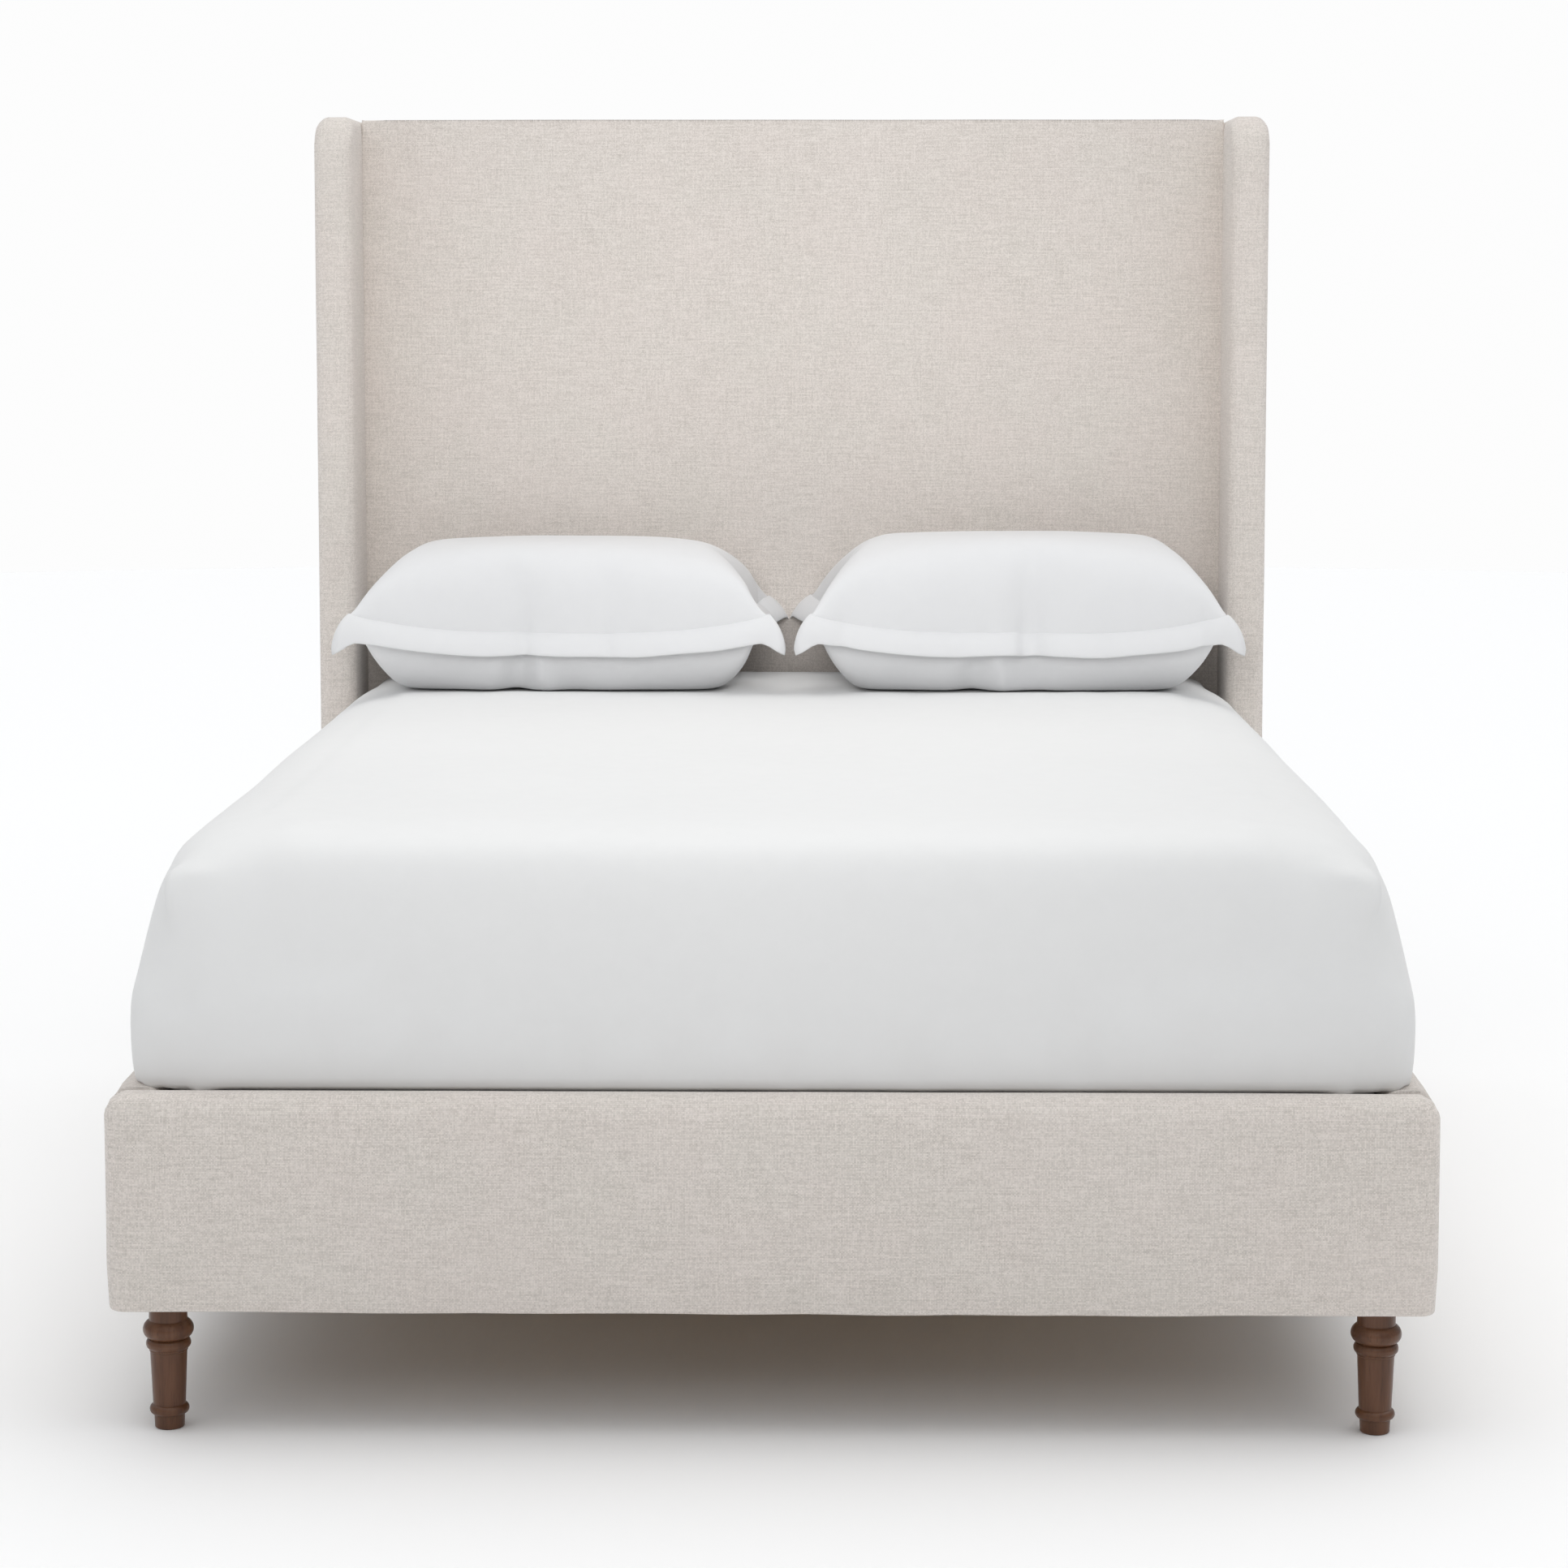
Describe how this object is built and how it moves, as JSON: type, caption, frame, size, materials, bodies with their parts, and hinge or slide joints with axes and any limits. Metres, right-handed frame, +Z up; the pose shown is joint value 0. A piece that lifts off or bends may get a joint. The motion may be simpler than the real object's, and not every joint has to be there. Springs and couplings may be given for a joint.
{
  "type": "upholstered headboard bed",
  "caption": "Queen-size bed with a tall winged upholstered headboard, padded rails, turned wooden front legs, mattress, duvet and flanged pillows.",
  "frame": {"origin": "on the floor under the middle of the bed", "axes": "+Z up, +Y towards the headboard, +X to the right seen from the foot"},
  "size_m": [1.656, 2.206, 1.73],
  "materials": {
    "black_steel": "black powder coat",
    "dust_cloth": "black non-woven dust cloth",
    "duvet_cotton": "white cotton, lofted",
    "frame_timber": "sawn pine",
    "linen_upholstery": "basket-weave linen blend, warm greige",
    "mattress_border": "knitted border",
    "mattress_core": "foam and springs, one solid",
    "mattress_quilt": "quilted knit",
    "pillow_ticking": "white ticking",
    "plywood": "raw plywood",
    "sham_cotton": "white percale",
    "sheet_cotton": "white percale",
    "slat_timber": "planed pine",
    "upholstery_foam": "open-cell polyurethane foam",
    "walnut_legs": "satin walnut-stained hardwood",
    "zinc_steel": "bright zinc plate"
  },
  "bodies": {
    "frame": {"base_screws": "zinc_steel", "beam_hangers": "black_steel", "bracket_bolts": "zinc_steel", "foot_corner_brackets": "black_steel", "footboard_board": "frame_timber", "footboard_cover": "linen_upholstery", "footboard_foam": "upholstery_foam", "front_left_leg": "walnut_legs", "front_right_leg": "walnut_legs", "head_joining_plates": "black_steel", "headboard_back_cloth": "dust_cloth", "headboard_bottom_rail": "frame_timber", "headboard_cover": "linen_upholstery", "headboard_foam": "upholstery_foam", "headboard_left_stile": "frame_timber", "headboard_plywood": "plywood", "headboard_right_stile": "frame_timber", "headboard_top_rail": "frame_timber", "left_rail_board": "frame_timber", "left_rail_cover": "linen_upholstery", "left_rail_foam": "upholstery_foam", "left_slat_ledge": "frame_timber", "left_wing_board": "frame_timber", "left_wing_cover": "linen_upholstery", "left_wing_foam": "upholstery_foam", "leg_hanger_bolts": "zinc_steel", "leg_threaded_inserts": "zinc_steel", "middle_beam": "frame_timber", "middle_leg_foot": "frame_timber", "middle_leg_head": "frame_timber", "rear_left_leg": "walnut_legs", "rear_right_leg": "walnut_legs", "right_rail_board": "frame_timber", "right_rail_cover": "linen_upholstery", "right_rail_foam": "upholstery_foam", "right_slat_ledge": "frame_timber", "right_wing_board": "frame_timber", "right_wing_cover": "linen_upholstery", "right_wing_foam": "upholstery_foam", "slat_01": "slat_timber", "slat_02": "slat_timber", "slat_03": "slat_timber", "slat_04": "slat_timber", "slat_05": "slat_timber", "slat_06": "slat_timber", "slat_07": "slat_timber", "slat_08": "slat_timber", "slat_09": "slat_timber", "slat_10": "slat_timber"},
    "mattress": {"mattress_border": "mattress_border", "mattress_core": "mattress_core", "mattress_quilted_top": "mattress_quilt", "fitted_sheet": "sheet_cotton"},
    "duvet": {"duvet": "duvet_cotton"},
    "left_pillow_set": {"left_pillow": "pillow_ticking", "left_sham": "sham_cotton"},
    "right_pillow_set": {"right_pillow": "pillow_ticking", "right_sham": "sham_cotton"},
    "foot_end_levelling_foot": {"levelling_foot_foot": "zinc_steel"},
    "head_end_levelling_foot": {"levelling_foot_head": "zinc_steel"}
  },
  "joints": [
    {"name": "mattress_lift", "type": "slide", "parent": "frame", "child": "mattress", "axis": [0, 0, 1], "range_m": [0, 0.3]},
    {"name": "duvet_lift", "type": "slide", "parent": "mattress", "child": "duvet", "axis": [0, 0, 1], "range_m": [0, 0.3]},
    {"name": "left_pillow_lift", "type": "slide", "parent": "duvet", "child": "left_pillow_set", "axis": [0, 0, 1], "range_m": [0, 0.25]},
    {"name": "right_pillow_lift", "type": "slide", "parent": "duvet", "child": "right_pillow_set", "axis": [0, 0, 1], "range_m": [0, 0.25]},
    {"name": "foot_end_levelling", "type": "slide", "parent": "frame", "child": "foot_end_levelling_foot", "axis": [0, 0, 1], "range_m": [-0.012, 0]},
    {"name": "head_end_levelling", "type": "slide", "parent": "frame", "child": "head_end_levelling_foot", "axis": [0, 0, 1], "range_m": [-0.012, 0]}
  ]
}
